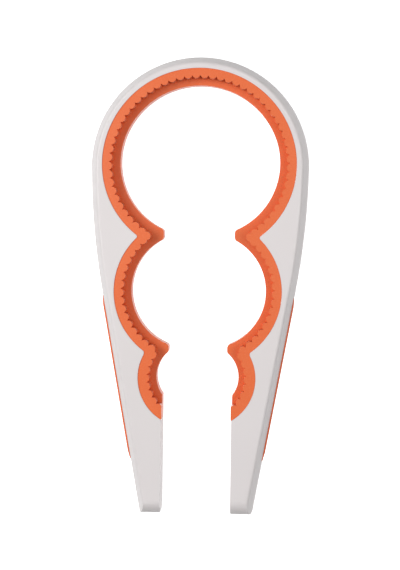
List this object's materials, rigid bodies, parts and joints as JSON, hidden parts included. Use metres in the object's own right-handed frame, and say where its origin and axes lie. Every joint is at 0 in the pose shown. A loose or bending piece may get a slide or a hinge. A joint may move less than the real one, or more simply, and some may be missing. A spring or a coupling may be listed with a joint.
{
  "type": "jar and bottle lid opener",
  "caption": "U-shaped hand tool that grips round jar and bottle lids between two springy arms with a toothed soft liner stepped for large, medium and small lids.",
  "frame": {"origin": "axis of the large lid seat, on the plane of the frame's back face", "axes": "+Z out of the toothed front, along the lid's axis; +Y towards the arch, away from the handles; +X to the right seen from the front"},
  "size_m": [0.1064, 0.2232, 0.018],
  "materials": {
    "white_plastic": "satin moulded polypropylene",
    "orange_rubber": "matt moulded thermoplastic rubber"
  },
  "bodies": {
    "crown": {"crown_front_shell": "white_plastic", "crown_rear_shell": "white_plastic", "crown_liner": "orange_rubber"},
    "left_arm": {"left_front_shell": "white_plastic", "left_rear_shell": "white_plastic", "left_liner": "orange_rubber", "left_grip": "orange_rubber"},
    "right_arm": {"right_front_shell": "white_plastic", "right_rear_shell": "white_plastic", "right_liner": "orange_rubber", "right_grip": "orange_rubber"}
  },
  "joints": [
    {"name": "left_flex", "type": "hinge", "parent": "crown", "child": "left_arm", "pos_m": [-0.03274, 0.03274, 0.009], "axis": [0, 0, 1], "range_deg": [-1.5, 4.5], "stiffness_Nm_per_rad": 10},
    {"name": "right_flex", "type": "hinge", "parent": "crown", "child": "right_arm", "pos_m": [0.03274, 0.03274, 0.009], "axis": [0, 0, -1], "range_deg": [-1.5, 4.5], "stiffness_Nm_per_rad": 10}
  ]
}
